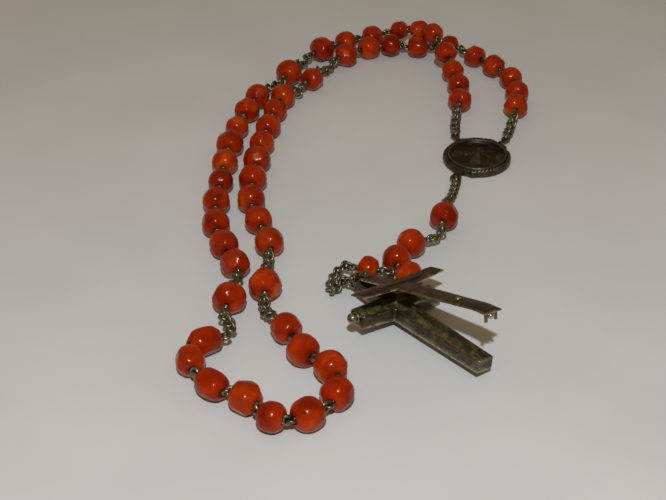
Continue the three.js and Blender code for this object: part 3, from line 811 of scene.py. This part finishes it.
def figure_height(x, y):
    """Low relief of a plain robed figure with open arms, in millimetres."""
    robe = smooth(capsule(x, y, 0, 2.4, 0, -3.9, 0.75, 2.0), -0.15, 0.9) * 0.34
    arms = 0.0
    for side in (-1, 1):
        sleeve = capsule(x, y, side * 0.7, 1.9, side * 3.0, 0.2, 0.5, 0.55)
        hand = capsule(x, y, side * 3.0, 0.2, side * 3.6, -0.5, 0.3, 0.22)
        arms = max(arms, smooth(sleeve, -0.12, 0.45) * 0.3, smooth(hand, -0.1, 0.3) * 0.26)
    head = smooth(capsule(x, y, 0, 4.0, 0, 3.55, 0.85, 0.7), -0.12, 0.7) * 0.4
    halo = smooth(0.13 - abs(math.hypot(x, y - 3.8) - 1.75), -0.1, 0.12) * 0.14
    folds = 0.0
    if y < 1.2:
        folds = 0.05 * math.sin(x * 5.2 + 0.5 * math.sin(y * 0.9)) * smooth(robe, 0.1, 0.3)
    face = 0.0
    if head > 0.3:
        for side in (-1, 1):
            face -= 0.05 * smooth(0.13 - math.hypot(x - side * 0.26, y - 3.95), 0, 0.1)
        face += 0.05 * smooth(0.1 - math.hypot(x, (y - 3.78) * 0.45), 0, 0.08)
        face -= 0.03 * smooth(0.16 - math.hypot(x * 0.7, (y - 3.46) * 2.6), 0, 0.1)
    base = smooth(1.5 - math.hypot(x * 0.55, y + 6.1), 0, 0.9) * 0.26
    return max(robe + folds, arms, head + face, halo, base)


def medal_top(s, x, y, angle):
    """Height and wear at distance s inside the medal's edge."""
    if s < BORDER:
        around = (angle / (2 * math.pi) * PEARLS) % 1 - 0.5
        pearl = max(0.0, 1 - (around / 0.44) ** 2 - ((s - 0.52) / 0.4) ** 2)
        crisp = 0.3 + 0.7 * math.exp(-((turn_between(angle, CRISP_AT) / 34) ** 2))
        bulge = math.sqrt(pearl) * crisp
        return 1.45 + 0.25 * smooth(s, 0, 0.25) + 0.42 * bulge, 0.2 + 0.65 * bulge
    ridge = smooth(s, BORDER, 1.2) * (1 - smooth(s, 1.45, 1.95))
    inner = 0.1 * smooth(0.16 - abs(s - 2.35), 0, 0.12)
    relief = figure_height(x, y) * smooth(s, 2.2, 2.9)
    height = 1.2 + 0.9 * ridge + inner + relief
    broad, fine = noise.noise(Vector((x, y, 0)) * 0.9), noise.noise(Vector((x, y, 3)) * 3)
    height += 0.025 * broad + 0.012 * fine
    wear = max(0.55 * smooth(ridge, 0.75, 1), 3 * inner, 1.9 * max(0, relief - 0.1), 0.08)
    return height, min(1, wear)


def make_medal():
    half_w, half_h = MEDAL_HALF
    around = MEDAL_AROUND
    steps = [
        0, 0.1, 0.22, 0.34, 0.46, 0.58, 0.7, 0.82, 0.94, 1.05, 1.15, 1.25, 1.4, 1.5, 1.6, 1.7, 1.8,
        1.95, 2.1, 2.2, 2.3, 2.4, 2.5, 2.65, 2.8,
    ]
    steps += [2.8 + 0.13 * (i + 1) for i in range(44)]
    rings, wears = [], []
    for s in steps:
        ring, shade = [], []
        for k in range(around):
            a = 2 * math.pi * k / around
            edge = 1.0
            for at, size, width in MEDAL_LOBES:
                peak = math.exp(-((turn_between(a, at) / width) ** 2))
                edge += size * peak * max(0, 1 - s / LOBE_REACH)
            shrink = max(0.0, 1 - s / MEDAL_REACH)
            x = half_w * shrink * edge * math.cos(a)
            y = half_h * shrink * edge * math.sin(a)
            z, w = medal_top(s, x, y, a)
            if s == 0:
                z = 1.15
            ring.append(Vector((x, y, z)))
            shade.append(w)
        rings.append(ring)
        wears.append(shade)
    under = []
    for grow, z, wear in (
        (0.3, 0.18, 0.2), (0.88, 0.18, 0.2), (0.9, 0.0, 0.2),
        (0.985, 0.0, 0.5), (0.998, 0.15, 0.3), (1.0, 0.5, 0.3), (1.004, 0.9, 0.3),
    ):
        under.append([Vector((p.x * grow, p.y * grow, z)) for p in rings[0]])
        wears.insert(len(under) - 1, [wear] * around)
    rings = under + rings
    points = [p for ring in rings for p in ring]
    shades = [w for shade in wears for w in shade]
    shell = Shell().add(points, bands(len(rings), around) + caps(len(rings), around), shades)
    shell.moved(Matrix.Rotation(math.radians(MEDAL_TURN), 3, "Z"))
    for place, thick, wire in MEDAL_LUGS:
        lug = eyes(place)["inner"]
        foot, centre = lug["foot"], lug["centre"]
        ring = ring_path(centre, UP, EYE_RADIUS + wire - LUG_WIRE, foot)
        tube(shell, ring, wire, 8, True, 0.5)
        root = foot.lerp(Vector((0, 0, 1.3)), 0.22)
        tube(shell, [foot + (centre - foot) * 0.05, foot, root], thick, 10, False, 0.35)
    make_piece("medal_cast", shell, [MEDAL_SILVER], "medal", ["medal"], sharp=60)


# ---------------------------------------------------------------- cross


def cross_corners(outline, inset):
    """Corners of the tapered cross outline."""
    w, t, f = CROSS["root"] - inset, CROSS["tip"] - inset, outline["toe"] - inset
    c, a, b = CROSS["head"], outline["arm_a"] - inset, outline["arm_b"] - inset
    start, end = outline["start"] + inset, outline["foot"] - inset
    return [
        (start, -t), (c - w, -w), (c - t, -a), (c + t, -a), (c + w, -w), (end, -f),
        (end, f), (c + w, w), (c + t, b), (c - t, b), (c - w, w), (start, t),
    ]


def sampled(corners, counts):
    """The outline with small round corners and evenly divided sides."""
    n = len(corners)
    found = []
    for i in range(n):
        before, here, after = (Vector((*corners[(i + k) % n], 0)) for k in (-1, 0, 1))
        back, ahead = before - here, after - here
        r = min(CORNER, back.length * 0.3, ahead.length * 0.3)
        a, b = here + back.normalized() * r, here + ahead.normalized() * r
        found += [a, a.lerp(b, 0.5).lerp(here, 0.42), b]
        next_back = here - after
        stop = after + next_back.normalized() * min(CORNER, next_back.length * 0.3)
        found += [b.lerp(stop, (k + 1) / (counts[i] + 1)) for k in range(counts[i])]
    return found


def cross_rings(levels, outline):
    """One closed ring of points for each (inset, height, roughness)."""
    base = cross_corners(outline, 0)
    counts = []
    for i in range(len(base)):
        j = (i + 1) % len(base)
        counts.append(int(math.dist(base[i], base[j]) / SIDE_STEP))
    rings = []
    for inset, height, rough in levels:
        ring = []
        for p in sampled(cross_corners(outline, inset), counts):
            q = Vector((p.x, p.y, height))
            shift = Vector([noise.noise(q * 0.55 + Vector((k * 9, 0, 0))) for k in range(3)])
            ring.append(q + shift * rough)
        rings.append(ring)
    return rings


def cross_matrix():
    yaw = Matrix.Rotation(math.radians(CROSS_YAW), 4, "Z")
    roll = Matrix.Rotation(math.radians(CROSS_ROLL), 4, "X")
    return Matrix.Translation(CROSS_AT) @ yaw @ roll


def lid_matrix():
    there = Matrix.Translation((HINGE_X, 0, HINGE_Z))
    swing = Matrix.Rotation(math.radians(-LID_OPEN), 4, "Y")
    return cross_matrix() @ there @ swing @ there.inverted()


def knuckle(shell, low, high):
    """Hollow barrel of the hinge, between two places along its pin."""
    r, bore = 0.85, 0.42
    profile = [
        (low + 0.1, bore), (low, bore + 0.08), (low, r - 0.12), (low + 0.12, r), (high - 0.12, r),
        (high, r - 0.12), (high, bore + 0.08), (high - 0.1, bore), (low + 0.1, bore),
    ]
    lathe(shell, profile, (HINGE_X, 0, HINGE_Z), (0, 1, 0), 20, 0.55)


def make_cross_tray():
    wall, depth = TRAY_WALL, TRAY_DEPTH
    levels = [
        (0.5, 0.0, 0.02), (0.14, 0.02, 0.03), (0.0, 0.16, 0.04), (0.0, 0.8, 0.07), (0.0, 1.5, 0.09),
        (0.0, 2.2, 0.08), (0.0, depth - 0.14, 0.06), (0.07, depth - 0.03, 0.05),
        (wall - 0.17, depth, 0.05), (wall - 0.04, depth - 0.08, 0.05), (wall, depth - 0.3, 0.06),
        (wall, 1.6, 0.07), (wall + 0.02, 0.8, 0.06), (wall + 0.25, wall, 0.02),
    ]
    rings = cross_rings(levels, CROSS)
    wears = [0.3, 1.0, 1.15, 0.35, 0.15, 0.2, 0.6, 1.0, 0.7, 0.4, 0.2, 0.1, 0, 0]
    slots = [0] * 9 + [1] * 4
    shell = Shell()
    loft(shell, rings, wears, slots)
    for low, high in ((0.95, 2.2), (-2.2, -0.95)):
        knuckle(shell, low, high)
        leaf = (low + 0.05, high - 0.05)
        soft_box(shell, (HINGE_X + 0.1, wall * 0.8), leaf, (1.65, 2.65), 0.1, 0.4)
    shell.moved(cross_matrix())
    make_piece(
        "cross_case", shell, [CROSS_SILVER, CRUST], "cross", ["cross_tray"], sharp=40,
    )


def make_cross_lining():
    """The uneven crust over the tray's floor."""
    wall = TRAY_WALL
    levels = [
        (wall - 0.1, 1.7, 0.3), (wall + 0.12, 1.3, 0.3), (wall + 0.4, 0.95, 0.35),
        (wall + 0.9, 0.85, 0.5), (wall + 1.5, 0.8, 0.5),
    ]
    rings = cross_rings(levels, CROSS)
    under = [[Vector((p.x, p.y, wall - 0.05)) for p in rings[0]]]
    shell = Shell()
    loft(shell, under + rings, [0.1] * 6)
    shell.moved(cross_matrix())
    make_piece("cross_lining", shell, [CRUST], "cross", sharp=60)


def warped(p):
    """The lid is bent by age: its head and foot sag and its far arm curls up."""
    curl = 0.75 * smooth(p.y, 2.5, LID["arm_b"]) - 0.25 * smooth(CROSS["head"] - p.x, 2, 9)
    return p + Vector((0, 0, curl - 0.4 * smooth(p.x, LID["foot"] - 4, LID["foot"])))


def make_cross_lid():
    low = LID_LOW
    levels = [
        (1.5, low + 0.12, 0.03), (0.8, low + 0.08, 0.03), (0.12, low + 0.02, 0.03),
        (0.0, low + 0.1, 0.03), (0.0, low + 0.3, 0.03), (0.1, low + 0.4, 0.03),
        (0.5, low + 0.48, 0.04), (1.0, low + 0.55, 0.04), (1.5, low + 0.58, 0.04),
    ]
    rings = [[warped(p) for p in ring] for ring in cross_rings(levels, LID)]
    wears = [0.1, 0.15, 0.7, 1.2, 1.2, 0.9, 0.2, 0.1, 0.15]
    shell = Shell()
    loft(shell, rings, wears)
    knuckle(shell, -0.65, 0.65)
    leaf = (HINGE_X + 0.1, LID["start"] + 0.8)
    soft_box(shell, leaf, (-0.62, 0.62), (low - 0.12, low + 0.42), 0.08, 0.4)
    shell.moved(lid_matrix())
    make_piece("cross_cover", shell, [CROSS_SILVER], "lid", ["cross_lid"], sharp=40)


def make_lid_fittings():
    low = LID_LOW
    rivet = Shell()
    profile = [(0, 0), (0, 0.55), (0.12, 0.55), (0.28, 0.42), (0.38, 0.22), (0.42, 0)]
    lathe(rivet, profile, (28.2, 0, low + 0.56), (0, 0, 1), 20, [0.4, 0.4, 0.5, 0.8, 1, 1])
    rivet.moved(lid_matrix())
    make_piece("rivet_head", rivet, [BRIGHT_SILVER], "lid", ["lid_rivet"], sharp=50)
    catch = Shell()
    face, top = CROSS["foot"] + 0.25, low + 0.1
    soft_box(catch, (face, face + 0.5), (-2.1, 1.2), (top - 1.25, top - 0.3), 0.1, 0.5)
    for y in (-2.1, 0.6):
        soft_box(catch, (face, face + 0.5), (y, y + 0.6), (top - 2.05, top - 1.1), 0.1, 0.6)
    catch.moved(lid_matrix())
    make_piece("catch_plate", catch, [CROSS_SILVER], "lid", ["lid_catch"], sharp=40)
    knob = Shell()
    lathe(knob, ball(0.62, 12), (face + 0.65, -0.9, top - 0.8), (1, 0, 0), 20, 0.95)
    knob.moved(lid_matrix())
    make_piece("catch_ball", knob, [BRIGHT_SILVER], "lid", sharp=80)


def make_cross_fittings():
    place = cross_matrix()
    pin = Shell()
    profile = [(-2.78, 0), (-2.76, 0.3), (-2.62, 0.52), (-2.42, 0.6), (-2.3, 0.55), (-2.3, 0.3)]
    profile += [(-x, r) for x, r in profile[::-1]]
    lathe(pin, profile, (HINGE_X, 0, HINGE_Z), (0, 1, 0), 16, 0.6)
    pin.moved(place)
    make_piece("hinge_pin", pin, [WIRE_SILVER], "cross", ["cross_hinge_pin"], sharp=50)
    knob = Shell()
    profile = [(-0.3, 0), (-0.3, 0.95), (0.0, 1.0), (0.14, 1.12), (0.26, 1.12), (0.34, 1.0)]
    centre, radius = 1.2, 1.15
    for degrees in range(-40, 90, 10):
        a = math.radians(degrees)
        profile.append((centre + radius * math.sin(a), radius * math.cos(a)))
    profile.append((2.33, 0))
    at = (CROSS["head"], -CROSS["arm_a"], TRAY_DEPTH / 2 + 0.6)
    lathe(knob, profile, at, (0, -1, 0), 28, 0.5)
    knob.moved(place)
    make_piece("finial_ball", knob, [BRIGHT_SILVER], "cross", ["arm_finial"], sharp=45)
    # Painted shade: a shallow dimple in the darker medal silver, barely worn, stands for the dark
    # inside of the catch hole in the foot's end.
    hole = Shell()
    profile = [(-0.2, 0), (-0.2, 0.42), (0.0, 0.44), (0.05, 0.36), (0.02, 0.28), (-0.04, 0)]
    lathe(hole, profile, (CROSS["foot"], 0.2, 1.45), (1, 0, 0), 18, 0.05)
    hole.moved(place)
    make_piece("catch_hole", hole, [MEDAL_SILVER], "cross", sharp=50)
    bail = Shell()
    eye = eyes("toCross")["outer"]
    add_eye(bail, eye, 0.3)
    foot = place @ Vector((-0.1, -0.6, 1.3))
    tube(bail, [eye["foot"], eye["foot"].lerp(foot, 0.5), foot], 0.4, 10, False, 0.5)
    make_piece("bail_loop", bail, [CROSS_SILVER], "cross", ["cross_bail"], sharp=80)


# ---------------------------------------------------------------- the rosary


for number, places in DECADES.items():
    first, last = eyes(f"toDecade{number}")["outer"], eyes(f"fromDecade{number}")["inner"]
    bead_node, wire_node = None, f"decade_{number}"
    if number == 3:
        last.update(LOOSE_END_EYE)
        bead_node, wire_node = "decade_3_bead_{:02d}".format, "decade_3_wire"
    make_strand(
        f"d{number}", places, first, last, AVE_SIZES[number], DECADE_BODY[number],
        bead_node, wire_node, number,
    )

tail = [Vector(p) for p in PENDANT_TAIL]
onward = (tail[0] - Vector(PENDANT_AVES[-1])).normalized()
pendant_end = {"centre": tail[0] + onward * 0.4, "foot": tail[0], "normal": UP}
make_strand(
    "pendant", PENDANT_AVES, eyes("toPendantAves")["outer"], pendant_end, PENDANT_SIZES,
    "pendant_aves", "pendant_bead_{:02d}".format, "pendant_wire", 8,
)

for number, size in PATER_SIZES.items():
    near, far = eyes(f"toPater{number}")["outer"], eyes(f"fromPater{number}")["inner"]
    centre = near["foot"].lerp(far["foot"], 0.5)
    axis = (far["foot"] - near["foot"]).normalized()
    bead = f"pater_{number}_bead"
    make_bead(f"bead_pater_{number}", centre, axis, size, 200 + number, bead, [bead])
    make_pin(
        f"pin_pater_{number}", near, far, bore_ends(centre, axis, size), centre,
        PATER_BODY[number], [f"pater_{number}_pin"],
    )

for number in SPACERS:
    make_chain(number)

tail_chain = Shell()
tail_end = eyes("toPater6")["inner"]
stops = resampled([*tail, tail_end["foot"]], LINK_PITCH)
for i, (p, t, n) in enumerate(zip(stops, *transported(stops, False))):
    turned = Matrix.Rotation(math.radians(45 + 90 * (i % 2)), 3, t) @ n
    curb_link(tail_chain, p, t, turned, TAIL_LINK, TAIL_WIRE)
add_eye(tail_chain, tail_end)
make_piece(
    "chain_tail", tail_chain, [WIRE_SILVER], "pendant_aves",
    ["pendant_wire"], sharp=80,
)

make_medal()
make_cross_tray()
make_cross_lining()
make_cross_lid()
make_lid_fittings()
make_cross_fittings()


# ---------------------------------------------------------------- table, light and camera


def make_floor():
    mesh = bpy.data.meshes.new("floor")
    half = 1.6
    corners = [(-half, -half, 0), (half, -half, 0), (half, half, 0), (-half, half, 0)]
    mesh.from_pydata(corners, [], [[0, 1, 2, 3]])
    mesh.materials.append(floor_material())
    floor = bpy.data.objects.new("floor", mesh)
    bpy.context.scene.collection.objects.link(floor)


def aim(thing, target):
    thing.rotation_mode = "QUATERNION"
    thing.rotation_quaternion = (Vector(target) - thing.location).to_track_quat("-Z", "Y")


def add_area(name, at, target, size, power, colour):
    data = bpy.data.lights.new(name, "AREA")
    data.size = size
    data.energy = power
    data.color = colour
    lamp = bpy.data.objects.new(name, data)
    lamp.location = at
    bpy.context.scene.collection.objects.link(lamp)
    aim(lamp, target)


def make_world(colour, strength):
    world = bpy.data.worlds.new("studio")
    world.use_nodes = True
    background = world.node_tree.nodes["Background"]
    background.inputs["Color"].default_value = (*colour, 1)
    background.inputs["Strength"].default_value = strength
    bpy.context.scene.world = world


def make_camera():
    """Camera at the photograph's viewing angle."""
    data = bpy.data.cameras.new("camera")
    data.lens = 69.6
    data.sensor_width = 36
    data.clip_start, data.clip_end = 0.01, 20
    camera = bpy.data.objects.new("camera", data)
    camera.location = (-0.03676, -0.29150, 0.15515)
    camera.rotation_euler = (math.radians(58), 0, 0)
    bpy.context.scene.collection.objects.link(camera)
    bpy.context.scene.camera = camera


make_floor()
make_world((1.0, 0.74, 0.42), 0.21)
add_area("key", (-0.035, -0.34, 0.325), (-0.03, -0.03, 0), 0.014, 1.15, (0.87, 0.94, 1.0))
add_area("soft", (-0.25, 0.1, 0.75), (-0.02, 0, 0), 0.5, 0.08, (1.0, 0.93, 0.85))
bpy.context.scene.view_settings.view_transform = "Standard"
make_camera()
